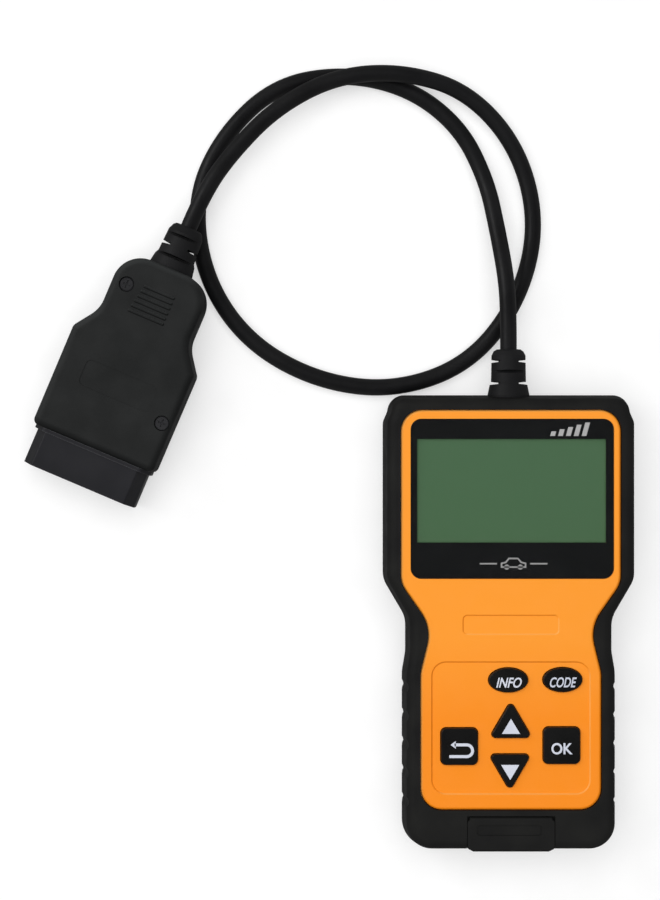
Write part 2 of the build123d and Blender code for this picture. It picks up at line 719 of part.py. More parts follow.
def make_pin_carrier():
    """Insulating block that holds the contacts at the bottom of the mouth."""
    carrier = across_axis(mouth_face(-SHROUD_WALL - 0.05), 11.6, 18.6)
    width, thick = PIN_BLADE
    for x, z in pin_places():
        low, high = PLUG_Z + z - thick / 2, PLUG_Z + z + thick / 2
        carrier -= block(x - width / 2, x + width / 2, 11, 19, low, high)
    return carrier


def make_plug_wires():
    """The lead's cores inside the plug, each to the tail of its contact."""
    wires = []
    upper_row = [-10.0, -2.0, 2.0]
    lower_row = [-10.0, -6.0, -2.0]
    for row, xs in ((PIN_ROW, upper_row), (-PIN_ROW, lower_row)):
        for number, x in enumerate(xs):
            start_x = (number - 1) * 1.6
            start_z = PLUG_Z + math.copysign(0.8, row)
            end_z = PLUG_Z + row
            points = [
                (start_x, 69.6, start_z),
                (start_x, 62.0, start_z),
                (x, 44.0, end_z),
                (x, 23.5, end_z),
            ]
            wires.append(tube(points, [6.0, 6.0], 0.55))
    return Compound(children=[wire.solid() for wire in wires])


def make_plug_screws():
    """Pan-head screws driven down through the upper half of the plug."""
    top = 2 * PLUG_HALF_HEIGHT
    screws = []
    for x, y in PLUG_SCREWS:
        screw = make_pan_screw(0, 0, -top + 0.6, -5.0, SCREW_R, 2.4, 1.6)
        screws.append(Pos(x, y, 0) * Rot(180, 0, 0) * screw)
    return Compound(children=[screw.solid() for screw in screws])


# ---------------------------------------------------------------- all the sub-parts
def reader_parts():
    parts = {
        "rubber_boot": make_boot(),
        "rear_shell": make_rear_shell(),
        "front_shell": make_front_shell(),
        "port_cover": make_port_cover(),
        "display_window": make_window(),
        "window_mask": make_mask(),
        "lcd_glass": block(SCREEN_X - 31.7, SCREEN_X + 31.7, 23.5, 61.9, 20.2, PLATE_Z),
        "lcd_backlight": block(SCREEN_X - 31.2, SCREEN_X + 31.2, 25.2, 61.7, 17.7, 20.2),
        "lcd_pins": make_lcd_pins(),
        "main_board": make_board(),
        "microcontroller": make_microcontroller(),
        "bus_transceiver": make_small_chip(-12, 40, 5.0, 4.0, 4),
        "memory_chip": make_small_chip(14, -12, 5.0, 4.0, 4),
        "level_shifter": make_small_chip(-12, 26, 9.0, 4.0, 7),
        "voltage_regulator": make_regulator(),
        "crystal": make_crystal(),
        "buzzer": make_buzzer(),
        "cable_header": make_cable_header(),
        "lead_wires": make_lead_wires(),
        "usb_socket": make_usb_socket(),
        "keypad_mat": make_keypad_mat(),
        "housing_screws": make_housing_screws(),
        "board_screws": make_board_screws(),
        "rear_label": prism(Pos(0, 22) * RectangleRounded(46, 30, 2.5), 0.3, 0.5),
        "reader_strain_relief": Pos(0, READER_TOP, CABLE_Z) * make_relief(READER_RELIEF, False),
    }
    cans = [(-22, 48, 3.15, 6.4), (-22, 56, 3.15, 6.4), (22, 52, 2.5, 5.6)]
    parts["capacitors"] = Compound(children=[make_capacitor(*can).solid() for can in cans])
    for name, (x, y, face) in KEYS.items():
        parts[f"{name}_key"] = key_cap(x, y, face)
        parts[f"{name}_dome"] = key_dome(x, y)
    return parts


def plug_parts():
    parts = {
        "plug_top_shell": make_plug_shell(True),
        "plug_bottom_shell": make_plug_shell(False),
        "connector_shroud": make_connector_shroud(),
        "pin_carrier": make_pin_carrier(),
        "pin_contacts": make_pins(),
        "plug_wires": make_plug_wires(),
        "plug_screws": make_plug_screws(),
        "plug_strain_relief": Pos(0, PLUG_BACK, PLUG_Z) * make_relief(PLUG_RELIEF, True),
    }
    return {name: plug_place() * part for name, part in parts.items()}


def main():
    os.makedirs("parts", exist_ok=True)
    parts = reader_parts()
    parts.update(plug_parts())
    parts["cable"] = make_cable()
    for name, part in parts.items():
        save(name, part)
    print(len(parts), "sub-parts written")


main()
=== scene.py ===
import math
import bmesh
import bpy
from mathutils import Matrix, Vector


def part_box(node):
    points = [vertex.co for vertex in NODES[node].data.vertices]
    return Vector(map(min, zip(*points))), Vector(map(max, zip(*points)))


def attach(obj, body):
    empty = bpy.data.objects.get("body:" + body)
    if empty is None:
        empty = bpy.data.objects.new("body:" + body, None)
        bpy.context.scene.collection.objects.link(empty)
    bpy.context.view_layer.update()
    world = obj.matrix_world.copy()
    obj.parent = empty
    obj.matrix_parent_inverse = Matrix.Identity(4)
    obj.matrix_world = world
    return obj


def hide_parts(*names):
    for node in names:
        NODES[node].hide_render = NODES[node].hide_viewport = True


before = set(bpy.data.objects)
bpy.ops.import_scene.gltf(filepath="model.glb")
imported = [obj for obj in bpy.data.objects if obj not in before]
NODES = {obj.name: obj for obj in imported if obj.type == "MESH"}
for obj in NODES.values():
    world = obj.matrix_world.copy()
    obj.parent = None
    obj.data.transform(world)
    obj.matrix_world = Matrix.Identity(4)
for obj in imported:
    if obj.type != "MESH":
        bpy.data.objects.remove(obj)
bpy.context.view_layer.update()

# A handheld OBD code reader with its lead and diagnostic plug, in metres, on a pale table.
MM = 0.001

CAMERA_PLACE = (-0.05875, 0.05715, 0.771)
CAMERA_LENS_MM = 92.04
CAMERA_SENSOR_MM = 36.0
LIT_PLACE = (-0.06, 0.05, 0.0)           # what the lights face
FLOOR_PLACE = (-0.06, 0.057, -0.0002)    # just under the part, so that the two never share a plane
FLOOR_SIZE = 6.0
WALL_GREY = (0.2, 0.2, 0.2, 1)
CEILING_GREY = (0.02, 0.02, 0.02, 1)


# ---------------------------------------------------------------- camera
def add_camera():
    """Straight above the middle of the lead's loop, with +Y up the picture."""
    data = bpy.data.cameras.new("camera")
    data.lens = CAMERA_LENS_MM
    data.sensor_width = CAMERA_SENSOR_MM
    data.clip_start = 0.01
    camera = bpy.data.objects.new("camera", data)
    camera.location = CAMERA_PLACE
    bpy.context.scene.collection.objects.link(camera)
    bpy.context.scene.camera = camera


# ---------------------------------------------------------------- light and floor
def add_softbox(name, place, size, watts, mirrored=True):
    """Square area light that faces the part; an unmirrored one gives no highlight."""
    data = bpy.data.lights.new(name, "AREA")
    data.shape = "SQUARE"
    data.size = size
    data.energy = watts
    lamp = bpy.data.objects.new(name, data)
    lamp.location = place
    lamp.rotation_euler = (Vector(LIT_PLACE) - Vector(place)).to_track_quat("-Z", "Y").to_euler()
    lamp.visible_camera = False
    lamp.visible_glossy = mirrored
    bpy.context.scene.collection.objects.link(lamp)


def add_world():
    """Studio with mid-grey walls and a dark ceiling, which is what the flat faces mirror."""
    world = bpy.data.worlds.new("studio")
    world.use_nodes = True
    bpy.context.scene.world = world
    tree = world.node_tree
    background = tree.nodes["Background"]
    where = tree.nodes.new("ShaderNodeTexCoord")
    split = tree.nodes.new("ShaderNodeSeparateXYZ")
    ramp = tree.nodes.new("ShaderNodeValToRGB")
    tree.links.new(where.outputs["Generated"], split.inputs["Vector"])
    tree.links.new(split.outputs["Z"], ramp.inputs["Fac"])
    tree.links.new(ramp.outputs["Color"], background.inputs["Color"])
    stops = ramp.color_ramp.elements
    stops[0].position = 0.0
    stops[0].color = WALL_GREY
    stops[1].position = 0.75
    stops[1].color = CEILING_GREY
    stops.new(0.25).color = WALL_GREY
    background.inputs["Strength"].default_value = 1.0


def add_floor(finish):
    """Pale table that throws no light back on the object, so that its sides stay dark."""
    bpy.ops.mesh.primitive_plane_add(size=FLOOR_SIZE, location=FLOOR_PLACE)
    floor = bpy.context.object
    floor.name = "floor"
    floor.data.materials.append(finish)
    floor.visible_diffuse = False
    floor.visible_glossy = False


# ---------------------------------------------------------------- procedural finishes
def linear(colour):
    """Scene-linear colour from a hex string."""
    channels = [int(colour[i:i + 2], 16) / 255 for i in (1, 3, 5)]
    return tuple(c / 12.92 if c <= 0.04045 else ((c + 0.055) / 1.055) ** 2.4 for c in channels) + (1.0,)


class Finish:
    """A material round one Principled shader, whose patterns are measured in millimetres."""

    def __init__(self, name, colour, roughness, **plain):
        self.material = bpy.data.materials.new(name)
        self.material.use_nodes = True
        self.tree = self.material.node_tree
        self.shader = self.tree.nodes["Principled BSDF"]
        self.shader.inputs["Base Color"].default_value = linear(colour)
        self.shader.inputs["Roughness"].default_value = roughness
        for socket, value in plain.items():
            self.shader.inputs[socket.replace("_", " ")].default_value = value
        coordinates = self.node("ShaderNodeTexCoord")
        self.place = coordinates.outputs["Object"]
        self.outward = coordinates.outputs["Normal"]
        self.last_bump = None

    def node(self, kind, **settings):
        made = self.tree.nodes.new(kind)
        for key, value in settings.items():
            setattr(made, key, value)
        return made

    def feed(self, source, socket):
        self.tree.links.new(source, socket)

    def noise(self, size_mm, detail=2.0, stretch=(1, 1, 1)):
        """Noise whose lumps are about size_mm across, stretched by the three factors."""
        mapping = self.node("ShaderNodeMapping")
        mapping.inputs["Scale"].default_value = tuple(1000.0 / (size_mm * s) for s in stretch)
        noise = self.node("ShaderNodeTexNoise")
        noise.inputs["Scale"].default_value = 1.0
        noise.inputs["Detail"].default_value = detail
        self.feed(self.place, mapping.inputs["Vector"])
        self.feed(mapping.outputs["Vector"], noise.inputs["Vector"])
        return noise.outputs["Fac"]

    def spread(self, source, low, high, source_low=0.35, source_high=0.65):
        """A value from low to high as source goes across its own range."""
        mapped = self.node("ShaderNodeMapRange")
        mapped.inputs["From Min"].default_value = source_low
        mapped.inputs["From Max"].default_value = source_high
        mapped.inputs["To Min"].default_value = low
        mapped.inputs["To Max"].default_value = high
        self.feed(source, mapped.inputs["Value"])
        return mapped.outputs["Result"]

    def mix(self, factor, first, second):
        """Colour that goes from first to second; each is a hex string or a socket."""
        mixed = self.node("ShaderNodeMix", data_type="RGBA")
        self.feed(factor, mixed.inputs["Factor"])
        for key, value in (("A", first), ("B", second)):
            socket = next(s for s in mixed.inputs if s.name == key and s.type == "RGBA")
            if isinstance(value, str):
                socket.default_value = linear(value)
            else:
                self.feed(value, socket)
        return next(s for s in mixed.outputs if s.type == "RGBA")

    def colour(self, source):
        self.feed(source, self.shader.inputs["Base Color"])

    def roughness(self, source):
        self.feed(source, self.shader.inputs["Roughness"])

    def bump(self, height, depth_mm, strength=1.0):
        """Relief of that depth, on top of what was there."""
        bump = self.node("ShaderNodeBump")
        bump.inputs["Distance"].default_value = depth_mm * MM
        bump.inputs["Strength"].default_value = strength
        self.feed(height, bump.inputs["Height"])
        if self.last_bump is not None:
            self.feed(self.last_bump, bump.inputs["Normal"])
        self.last_bump = bump.outputs["Normal"]
        self.feed(self.last_bump, self.shader.inputs["Normal"])

    def axis(self, letter):
        """Where a point lies along one axis of the frame, in metres."""
        split = self.node("ShaderNodeSeparateXYZ")
        self.feed(self.place, split.inputs["Vector"])
        return split.outputs[letter]

    def colour_so_far(self):
        return self.shader.inputs["Base Color"].links[0].from_socket

    def paint_edge_highlight(self, colour, radius_mm, amount):
        """Painted highlight: turns the colour towards another along the edges."""
        share = self.spread(self.edges(radius_mm), 0.0, amount, 0.0, 1.0)
        self.colour(self.mix(share, self.colour_so_far(), colour))

    def paint_slope_shading(self, direction, paler, deeper, level, steep):
        """Painted light and shade: slopes facing a direction turn paler, those facing the other way deeper.

        Paler and deeper are each a colour and its largest share. Up to level a slope counts as
        flat, and from steep on it has the whole share.
        """
        slope = self.facing(direction)
        toward = self.spread(slope, 0.0, paler[1], level, steep)
        away = self.spread(slope, deeper[1], 0.0, -steep, -level)
        # painted light on the slopes that face the direction, then painted shade on the others
        with_painted_light = self.mix(toward, self.colour_so_far(), paler[0])
        self.colour(self.mix(away, with_painted_light, deeper[0]))

    def facing(self, direction):
        """How far the surface faces a direction of the part's own frame, from -1 to 1."""
        dot = self.node("ShaderNodeVectorMath", operation="DOT_PRODUCT")
        self.feed(self.outward, dot.inputs[0])
        dot.inputs[1].default_value = direction
        return dot.outputs["Value"]

    def edges(self, radius_mm):
        """0 on a flat face, rising to 1 at an edge that is nearer than the radius."""
        bevel = self.node("ShaderNodeBevel", samples=4)
        bevel.inputs["Radius"].default_value = radius_mm * MM
        geometry = self.node("ShaderNodeNewGeometry")
        dot = self.node("ShaderNodeVectorMath", operation="DOT_PRODUCT")
        self.feed(bevel.outputs["Normal"], dot.inputs[0])
        self.feed(geometry.outputs["Normal"], dot.inputs[1])
        return self.spread(dot.outputs["Value"], 1.0, 0.0, 0.8, 1.0)


def grained(name, colour, roughness, grain_mm, depth_mm, **plain):
    """Moulded plastic or rubber of one colour, with a fine grain and uneven gloss."""
    finish = Finish(name, colour, roughness, **plain)
    smudges = finish.noise(5.0, 4.0)
    finish.roughness(finish.spread(smudges, roughness - 0.05, roughness + 0.05))
    finish.bump(finish.noise(grain_mm, 2.0), depth_mm)
    return finish


def moulded(name, dark, light, roughness, grain_mm, depth_mm, **plain):
    """The same with faint clouds in its colour."""
    finish = grained(name, light, roughness, grain_mm, depth_mm, **plain)
    clouds = finish.noise(14.0, 3.0)
    finish.colour(finish.mix(finish.spread(clouds, 0.0, 1.0), dark, light))
    return finish


def boot_rubber():
    """Soft black rubber with a fine grain."""
    rubber = moulded("boot_rubber", "#1A1A1A", "#20201F", 0.58, 0.35, 0.014, Specular_IOR_Level=0.22)
    return rubber.material


def face_orange():
    """Satin orange plastic that goes from deep to pale along the grip; painted light and shade on slopes."""
    finish = grained("face_orange", "#FE9C2D", 0.42, 0.3, 0.006, Specular_IOR_Level=0.4)
    drift = finish.spread(finish.axis("Y"), 0.0, 1.0, -0.03, -0.004)
    finish.colour(finish.mix(drift, "#FB8F1B", "#FE9C2D"))
    # painted light on slopes facing the upper left, painted shade on slopes facing the lower right
    finish.paint_slope_shading((-0.71, 0.71, 0.0), ("#FFB861", 0.6), ("#E07A16", 0.65), 0.08, 0.45)
    return finish.material


def key_black():
    return moulded("key_black", "#101010", "#151515", 0.4, 0.25, 0.006, Specular_IOR_Level=0.4).material


def plug_plastic():
    """Black housing plastic with a fine spark-eroded texture, and painted light and shade on its slopes."""
    finish = moulded("plug_plastic", "#1F2020", "#252626", 0.55, 0.45, 0.025, Specular_IOR_Level=0.25)
    # painted light on slopes facing up the picture, painted shade on slopes facing down it
    finish.paint_slope_shading((-0.2, 0.98, 0.0), ("#3C3E3E", 0.6), ("#121313", 0.6), 0.15, 0.6)
    return finish.material


def mouth_plastic():
    """The plug's mouth: the same black, smoother, with a painted highlight along its edges."""
    finish = moulded("mouth_plastic", "#202023", "#252528", 0.42, 0.4, 0.008, Specular_IOR_Level=0.3)
    # painted highlight: a pale grey along the edges
    finish.paint_edge_highlight("#6A6A6E", 0.3, 0.6)
    return finish.material


def cable_jacket():
    """Satin vinyl with a very fine grain."""
    return moulded("cable_jacket", "#131314", "#19191A", 0.42, 0.3, 0.006, Specular_IOR_Level=0.38).material


def simple(name, dark, light, roughness, **plain):
    return moulded(name, dark, light, roughness, 0.4, 0.004, **plain).material


def metal(name, dark, light, roughness):
    """Plated or drawn metal with fine scratches and uneven polish."""
    finish = Finish(name, light, roughness, Metallic=1.0)
    finish.colour(finish.mix(finish.spread(finish.noise(3.0, 3.0), 0.0, 1.0), dark, light))
    finish.roughness(finish.spread(finish.noise(1.2, 4.0, (6, 1, 1)), roughness - 0.08, roughness + 0.1))
    finish.bump(finish.noise(0.25, 3.0, (8, 1, 1)), 0.004)
    return finish.material


def silicone():
    """Grey silicone that lets a little light into its surface."""
    finish = moulded("silicone_grey", "#8A8B8C", "#999A9B", 0.55, 0.3, 0.004, Subsurface_Weight=0.3)
    finish.shader.inputs["Subsurface Radius"].default_value = (0.001, 0.001, 0.001)
    return finish.material


def board_green():
    """Solder mask over a grid of traces that shows as faint relief and paler lines."""
    finish = Finish("board_green", "#14522A", 0.35)
    brick = finish.node("ShaderNodeTexBrick")
    mapping = finish.node("ShaderNodeMapping")
    mapping.inputs["Scale"].default_value = (400.0, 400.0, 400.0)
    finish.feed(finish.place, mapping.inputs["Vector"])
    finish.feed(mapping.outputs["Vector"], brick.inputs["Vector"])
    brick.inputs["Scale"].default_value = 1.0
    brick.inputs["Mortar Size"].default_value = 0.06
    brick.inputs["Color1"].default_value = linear("#124A26")
    brick.inputs["Color2"].default_value = linear("#175A2F")
    brick.inputs["Mortar"].default_value = linear("#2A7A45")
    clouds = finish.spread(finish.noise(9.0, 3.0), 0.0, 0.4)
    finish.colour(finish.mix(clouds, brick.outputs["Color"], "#103F20"))
    finish.roughness(finish.spread(finish.noise(2.0, 3.0), 0.28, 0.42))
    finish.bump(brick.outputs["Fac"], 0.03)
    return finish.material


def wire_colours(name, pitch_mm):
    """Each core its own colour, told apart by where it lies across the row."""
    finish = Finish(name, "#8C1F18", 0.35)
    ramp = finish.node("ShaderNodeValToRGB")
    ramp.color_ramp.interpolation = "CONSTANT"
    shades = ["#8C1F18", "#1C1C1C", "#C9B21E", "#1F5C2E", "#1E3F86", "#CFCFC8"]
    stops = ramp.color_ramp.elements
    share = 1 / len(shades)
    stops[0].color = linear(shades[0])
    stops[1].position = share
    stops[1].color = linear(shades[1])
    for number in range(2, len(shades)):
        stops.new(number * share).color = linear(shades[number])
    reach = len(shades) / 2 * pitch_mm * MM
    finish.feed(finish.spread(finish.axis("X"), 0.0, 1.0, -reach, reach), ramp.inputs["Fac"])
    finish.colour(ramp.outputs["Color"])
    finish.roughness(finish.spread(finish.noise(1.0, 3.0), 0.3, 0.42))
    finish.bump(finish.noise(0.4, 2.0), 0.004)
    return finish.material


def lcd_green():
    """Unlit liquid crystal: an even grey-green, a shade paler towards its upper edge."""
    finish = Finish("lcd_green", "#476749", 0.35, Specular_IOR_Level=0.3)
    slope = finish.spread(finish.axis("Y"), 0.0, 1.0, 0.027, 0.061)
    finish.colour(finish.mix(slope, "#476748", "#48684A"))
    finish.roughness(finish.spread(finish.noise(4.0, 3.0), 0.3, 0.4))
    finish.bump(finish.noise(0.3, 1.0), 0.002)
    return finish.material


def table_white():
    """Matt white table that gives off half of its light itself, so that shadows on it stay faint."""
    finish = moulded("table_white", "#BEBEBE", "#C2C2C2", 0.9, 0.4, 0.004, Specular_IOR_Level=0.1)
    finish.shader.inputs["Emission Color"].default_value = (1, 1, 1, 1)
    finish.shader.inputs["Emission Strength"].default_value = 0.5
    return finish.material


def window_clear():
    """Clear polished acrylic: a mirror by Fresnel on what is otherwise open."""
    finish = Finish("window_clear", "#FFFFFF", 0.04)
    finish.bump(finish.noise(6.0, 1.0), 0.002, 0.3)
    gloss = finish.node("ShaderNodeBsdfGlossy")
    gloss.inputs["Color"].default_value = (1, 1, 1, 1)
    finish.feed(finish.spread(finish.noise(9.0, 4.0), 0.02, 0.07), gloss.inputs["Roughness"])
    finish.feed(finish.last_bump, gloss.inputs["Normal"])
    clear = finish.node("ShaderNodeBsdfTransparent")
    fresnel = finish.node("ShaderNodeFresnel")
    fresnel.inputs["IOR"].default_value = 1.49
    inside = finish.node("ShaderNodeNewGeometry")
    outer = finish.node("ShaderNodeMath", operation="SUBTRACT")
    outer.inputs[0].default_value = 1.0
    finish.feed(inside.outputs["Backfacing"], outer.inputs[1])
    share = finish.node("ShaderNodeMath", operation="MULTIPLY")
    finish.feed(fresnel.outputs["Fac"], share.inputs[0])
    finish.feed(outer.outputs["Value"], share.inputs[1])
    either = finish.node("ShaderNodeMixShader")
    finish.feed(share.outputs["Value"], either.inputs["Fac"])
    finish.feed(clear.outputs["BSDF"], either.inputs[1])
    finish.feed(gloss.outputs["BSDF"], either.inputs[2])
    finish.feed(either.outputs["Shader"], finish.tree.nodes["Material Output"].inputs["Surface"])
    finish.tree.nodes.remove(finish.shader)
    return finish.material


# ---------------------------------------------------------------- the lead
ROUTE = [
    (0.0, 0.0902, 0.0135),
    (0.0, 0.101, 0.0135),
    (-0.0006, 0.113, 0.0135),
    (-0.0032, 0.130, 0.008),
    (-0.0066, 0.1473, 0.0034),
    (-0.0154, 0.165, 0.00275),
    (-0.032, 0.1779, 0.00275),
    (-0.054, 0.1829, 0.00275),
    (-0.0773, 0.1788, 0.00275),
    (-0.0953, 0.1612, 0.00275),
    (-0.1042, 0.140, 0.00275),
    (-0.1005, 0.1143, 0.00275),
    (-0.0865, 0.0934, 0.00275),
    (-0.0638, 0.0804, 0.00275),
    (-0.038, 0.0768, 0.00275),
    (-0.0128, 0.0854, 0.00275),
    (0.004, 0.1061, 0.00275),
    (0.0106, 0.132, 0.00275),
    (0.0043, 0.1578, 0.00275),
    (-0.0127, 0.1767, 0.0045),
    (-0.035, 0.1826, 0.0089),
    (-0.057, 0.181, 0.0089),
    (-0.0768, 0.1705, 0.0089),
    (-0.0912, 0.1557, 0.0092),
    (-0.10034, 0.14238, 0.0115),
    (-0.10542, 0.13041, 0.0115),
]
CABLE_DIAMETER = 0.0055


def add_lead(finish):
    data = bpy.data.curves.new("lead", "CURVE")
    data.dimensions = "3D"
    data.bevel_depth = CABLE_DIAMETER / 2
    data.bevel_resolution = 8
    data.resolution_u = 16
    data.use_fill_caps = True
    spline = data.splines.new("NURBS")
    spline.points.add(len(ROUTE) - 1)
    for point, place in zip(spline.points, ROUTE):
        point.co = (*place, 1.0)
    spline.order_u = 3
    spline.use_endpoint_u = True
    data.materials.append(finish)
    lead = bpy.data.objects.new("lead", data)
    bpy.context.scene.collection.objects.link(lead)
    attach(lead, "reader")
    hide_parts("cable")


# ---------------------------------------------------------------- printed marks and the window
def slab(name, polygons, low, high, finish, body):
    """Flat shapes with a little thickness; corners in millimetres, each polygon anticlockwise."""
    made = bmesh.new()
    for polygon in polygons:
        lower = [made.verts.new((x * MM, y * MM, low * MM)) for x, y in polygon]
        upper = [made.verts.new((x * MM, y * MM, high * MM)) for x, y in polygon]
        made.faces.new(upper)
        made.faces.new(lower[::-1])
        for i in range(len(polygon)):
            j = (i + 1) % len(polygon)
            made.faces.new((lower[i], lower[j], upper[j], upper[i]))
    bmesh.ops.recalc_face_normals(made, faces=made.faces)
    mesh = bpy.data.meshes.new(name)
    made.to_mesh(mesh)
    made.free()
    return place_piece(name, mesh, finish, body)


def place_piece(name, mesh, finish, body):
    mesh.materials.clear()
    mesh.materials.append(finish)
    piece = bpy.data.objects.new(name, mesh)
    bpy.context.scene.collection.objects.link(piece)
    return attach(piece, body)


def ribbon(points, width, closed=False):
    """The strip of that width along a line, as one four-cornered polygon for each run."""
    count = len(points)
    sides = []
    for i, place in enumerate(points):
        here = Vector(place)
        before = Vector(points[i - 1]) if closed or i > 0 else None
        after = Vector(points[(i + 1) % count]) if closed or i < count - 1 else None
        leaving = (after - here).normalized() if after is not None else (here - before).normalized()
        arriving = (here - before).normalized() if before is not None else leaving
        across = Vector((-(arriving.y + leaving.y), arriving.x + leaving.x)).normalized()
        reach = width / 2 / max(0.4, across.dot(Vector((-arriving.y, arriving.x))))
        sides.append((here - across * reach, here + across * reach))
    runs = []
    for i in range(count if closed else count - 1):
        j = (i + 1) % count
        runs.append([tuple(p) for p in (sides[i][0], sides[j][0], sides[j][1], sides[i][1])])
    return runs


def arc(x, y, radius, start, end, steps=14):
    """Points on a circle between two angles in degrees."""
    angles = [math.radians(start + (end - start) * i / steps) for i in range(steps + 1)]
    return [(x + radius * math.cos(a), y + radius * math.sin(a)) for a in angles]


def moved(shapes, x, y):
    return [[(px + x, py + y) for px, py in shape] for shape in shapes]


def word(name, letters, box, low, high, finish, body, lean=0.0, weight=0.0):
    """Generic lettering that fills a box (x0, x1, y0, y1), in millimetres."""
    curve = bpy.data.curves.new(name, "FONT")
    curve.body = letters
    curve.shear = lean
    curve.offset = weight
    curve.extrude = 0.5
    draft = bpy.data.objects.new(name, curve)
    bpy.context.scene.collection.objects.link(draft)
    mesh = bpy.data.meshes.new_from_object(draft.evaluated_get(bpy.context.evaluated_depsgraph_get()))
    bpy.data.objects.remove(draft)
    xs = [v.co.x for v in mesh.vertices]
    ys = [v.co.y for v in mesh.vertices]
    x0, x1, y0, y1 = box
    size = ((x1 - x0) / (max(xs) - min(xs)), (y1 - y0) / (max(ys) - min(ys)), high - low)
    shift = (x0 - min(xs) * size[0], y0 - min(ys) * size[1], (low + high) / 2)
    mesh.transform(Matrix.Scale(MM, 4) @ Matrix.Translation(shift) @ Matrix.Diagonal((*size, 1)))
    return place_piece(name, mesh, finish, body)


# Heights and places of the printed marks, in millimetres.
KEY_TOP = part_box("ok_key")[1][2] / MM
KEY_PRINT = (KEY_TOP - 0.03, KEY_TOP + 0.01)
MASK_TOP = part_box("window_mask")[1][2] / MM
MASK_PRINT = (MASK_TOP - 0.01, MASK_TOP + 0.015)
BARS_PLACE = (12.8, 61.7)                # lower left corner of the rising bars
CAR_PLACE = (0.9, 20.3)                  # middle of the car


def middle(name):
    """Centre of a node's box seen from above, in millimetres."""
    (x0, y0, _), (x1, y1, _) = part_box(name)
    return ((x0 + x1) / 2 / MM, (y0 + y1) / 2 / MM)


def add_legends(finish):
    """The marks on the key tops, each drawn from the middle of its key."""
    up = [(-2.95, -4.01), (2.95, -4.01), (0.0, 0.89)]
    lower = 2.0    # the arrow of the down key is the same one turned round, and sits this much lower
    down = [(-x, -y - lower) for x, y in up]
    hook = [(-1.6, 0.6), (0.6, 0.6)] + arc(2.35, -1.3, 1.9, 90, -90) + [(-3.3, -3.2)]
    head = [(-2.9, 0.6), (-1.2, -0.65), (-1.2, 1.85)]
    drawings = {"up": [up], "down": [down], "back": ribbon(hook, 0.95) + [head]}
    for name, shapes in drawings.items():
        key = f"{name}_key"
        slab(f"legend_{name}", moved(shapes, *middle(key)), *KEY_PRINT, finish, key)
    words = [
        ("ok", (-3.4, 3.5, -2.8, 0.9), 0.0, 0.022),
        ("info", (-4.0, 4.3, -2.4, 0.9), 0.3, 0.018),
        ("code", (-4.2, 4.5, -2.4, 0.9), 0.3, 0.018),
    ]
    for name, (x0, x1, y0, y1), lean, weight in words:
        key = f"{name}_key"
        x, y = middle(key)
        box = (x + x0, x + x1, y + y0, y + y1)
        word(f"legend_{name}", name.upper(), box, *KEY_PRINT, finish, key, lean, weight)


def add_mask_marks(bright, dim):
    """Two generic pictograms on the black border of the screen: rising bars and a car."""
    x0, y0 = BARS_PLACE
    width, pitch, lean = 1.55, 2.55, 0.28
    bars = []
    for number in range(5):
        x = x0 + pitch * number
        high = 1.5 + 0.72 * number
        slant = lean * high
        bars.append([(x, y0), (x + width, y0), (x + width + slant, y0 + high), (x + slant, y0 + high)])
    slab("mask_bars", bars, *MASK_PRINT, bright, "reader")
    roof = [(3.9, 0.0), (2.5, 0.35), (1.4, 1.6), (-1.5, 1.6), (-2.5, 0.35), (-3.9, 0.0)]
    car = ribbon([(-3.9, -1.2), (3.9, -1.2)] + roof, 0.5, True)
    car += [arc(x, -1.2, 0.85, 0, 345, 23) for x in (-2.2, 2.2)]
    car += [[(x, -0.35), (x + 5.6, -0.35), (x + 5.6, 0.15), (x, 0.15)] for x in (-11.0, 5.4)]
    slab("mask_car", moved(car, *CAR_PLACE), *MASK_PRINT, dim, "reader")


def rounded(box, radius, inset=0.0):
    """Corners of a rounded rectangle x0, x1, y0, y1, anticlockwise."""
    x0, x1, y0, y1 = box
    round_by = radius - inset
    corners = [(x1 - radius, y1 - radius, 0), (x0 + radius, y1 - radius, 90)]
    corners += [(x0 + radius, y0 + radius, 180), (x1 - radius, y0 + radius, 270)]
    points = []
    for x, y, start in corners:
        points += arc(x, y, round_by, start, start + 90, 10)
    return points


def add_window(finish):
    """The clear window, with the small polished chamfer of a cut edge."""
    (x0, y0, z0), (x1, y1, z1) = [tuple(c / MM for c in corner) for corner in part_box("display_window")]
    corner_radius = 3.45
    layers = [(z0 + 0.02, 0.0), (z1 - 0.2, 0.0), (z1 - 0.06, 0.06), (z1, 0.2)]
    made = bmesh.new()
    rings = []
    for z, inset in layers:
        corners = rounded((x0, x1, y0, y1), corner_radius, inset)
        rings.append([made.verts.new((x * MM, y * MM, z * MM)) for x, y in corners])
    for lower, upper in zip(rings, rings[1:]):
        for i in range(len(lower)):
            j = (i + 1) % len(lower)
            made.faces.new((lower[i], lower[j], upper[j], upper[i]))
    made.faces.new(rings[0][::-1])
    made.faces.new(rings[-1])
    bmesh.ops.recalc_face_normals(made, faces=made.faces)
    mesh = bpy.data.meshes.new("window_pane")
    made.to_mesh(mesh)
    made.free()
    pane = place_piece("window_pane", mesh, finish, "reader")
    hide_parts("display_window")


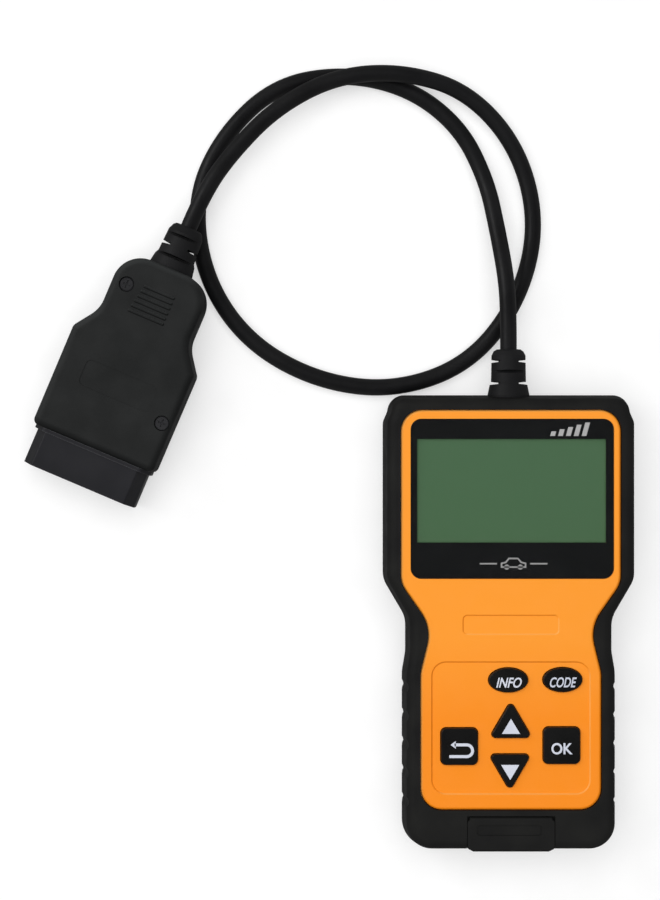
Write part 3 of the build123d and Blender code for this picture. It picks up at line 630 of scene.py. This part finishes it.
def add_rear_print(finish):
    """A border, blank ruled lines and a drawing of the plug's mouth on the rear label."""
    (x0, y0, z0), (x1, y1, _) = [tuple(c / MM for c in corner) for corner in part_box("rear_label")]
    border = ribbon(rounded((x0 + 1.2, x1 - 1.2, y0 + 1.2, y1 - 1.2), 1.8), 0.35, True)
    left, right = x0 + 4, x0 + 20
    rules = [[(left, y), (right, y), (right, y + 0.3), (left, y + 0.3)] for y in (12, 16, 20, 24)]
    mouth = ribbon([(2.5, 17.5), (20.5, 17.5), (18.8, 25.5), (4.2, 25.5)], 0.4, True)
    pins = []
    for row in (19.4, 22.6):
        for number in range(8):
            x = 4.9 + 1.8 * number
            pins.append([(x, row), (x + 0.7, row), (x + 0.7, row + 1.2), (x, row + 1.2)])
    slab("rear_print", border + rules + mouth + pins, z0 - 0.02, z0 + 0.02, finish, "reader")


# ---------------------------------------------------------------- finishes on the CAD parts
def dress(finish, *names):
    for name in names:
        for slot in NODES[name].material_slots:
            slot.material = finish


def dress_outside():
    dress(boot_rubber(), "rubber_boot", "port_cover")
    dress(face_orange(), "front_shell")
    dress(simple("shell_black", "#161617", "#1C1C1D", 0.5, Specular_IOR_Level=0.3), "rear_shell")
    dress(key_black(), *[name for name in NODES if name.endswith("_key")])
    dress(plug_plastic(), "plug_top_shell", "plug_bottom_shell")
    dress(mouth_plastic(), "connector_shroud")
    dress(simple("carrier_black", "#1B1B1B", "#202020", 0.5), "pin_carrier")
    relief = simple("relief_black", "#19191A", "#1E1E1F", 0.55, Specular_IOR_Level=0.32)
    dress(relief, "reader_strain_relief", "plug_strain_relief")
    dress(simple("mask_black", "#121314", "#141516", 0.4), "window_mask")
    dress(lcd_green(), "lcd_glass")
    dress(simple("screw_black", "#222224", "#2C2C2E", 0.32), "housing_screws", "board_screws", "plug_screws")
    dress(metal("contact_gold", "#B9903F", "#D2A94F", 0.28), "pin_contacts")
    dress(simple("label_grey", "#B9BBBC", "#C4C6C7", 0.6), "rear_label")


def dress_inside():
    dress(board_green(), "main_board")
    chips = ["microcontroller", "bus_transceiver", "memory_chip", "level_shifter", "voltage_regulator"]
    dress(simple("chip_black", "#1C1C1E", "#232325", 0.45), *chips)
    dress(simple("buzzer_black", "#151516", "#1B1B1C", 0.35), "buzzer")
    dress(metal("can_metal", "#B4B7BA", "#CBCED1", 0.3), "crystal", "capacitors")
    dress(metal("tinned_metal", "#A9ABAC", "#C6C7C8", 0.32), "usb_socket", "lcd_pins")
    dress(simple("header_white", "#D6D0BC", "#DFDAC9", 0.5), "cable_header")
    dress(simple("backlight_white", "#E0E4E2", "#EAEDEB", 0.4), "lcd_backlight")
    dress(silicone(), "keypad_mat", *[name for name in NODES if name.endswith("_dome")])
    dress(wire_colours("core_colours", 2.0), "lead_wires")
    dress(simple("core_red", "#7E1B15", "#92241C", 0.35), "plug_wires")


def main():
    add_camera()
    add_world()
    add_floor(table_white())
    add_softbox("ceiling_light", (-0.2, 0.2, 2.2), 2.6, 60.0, mirrored=False)
    add_softbox("key_light", (-0.9, 0.5, 0.8), 0.7, 2.5)
    add_lead(cable_jacket())
    add_window(window_clear())
    silver = simple("legend_silver", "#C9CEDC", "#D8DCE8", 0.45)
    add_legends(silver)
    bright = simple("mark_silver", "#A9A9A9", "#B8B8B8", 0.4)
    dim = simple("mark_grey", "#8D8D8D", "#9A9A9A", 0.4)
    add_mask_marks(bright, dim)
    add_rear_print(simple("label_ink", "#1A1A1C", "#232326", 0.5))
    dress_outside()
    dress_inside()


main()
bpy.context.scene.view_settings.view_transform = "Standard"
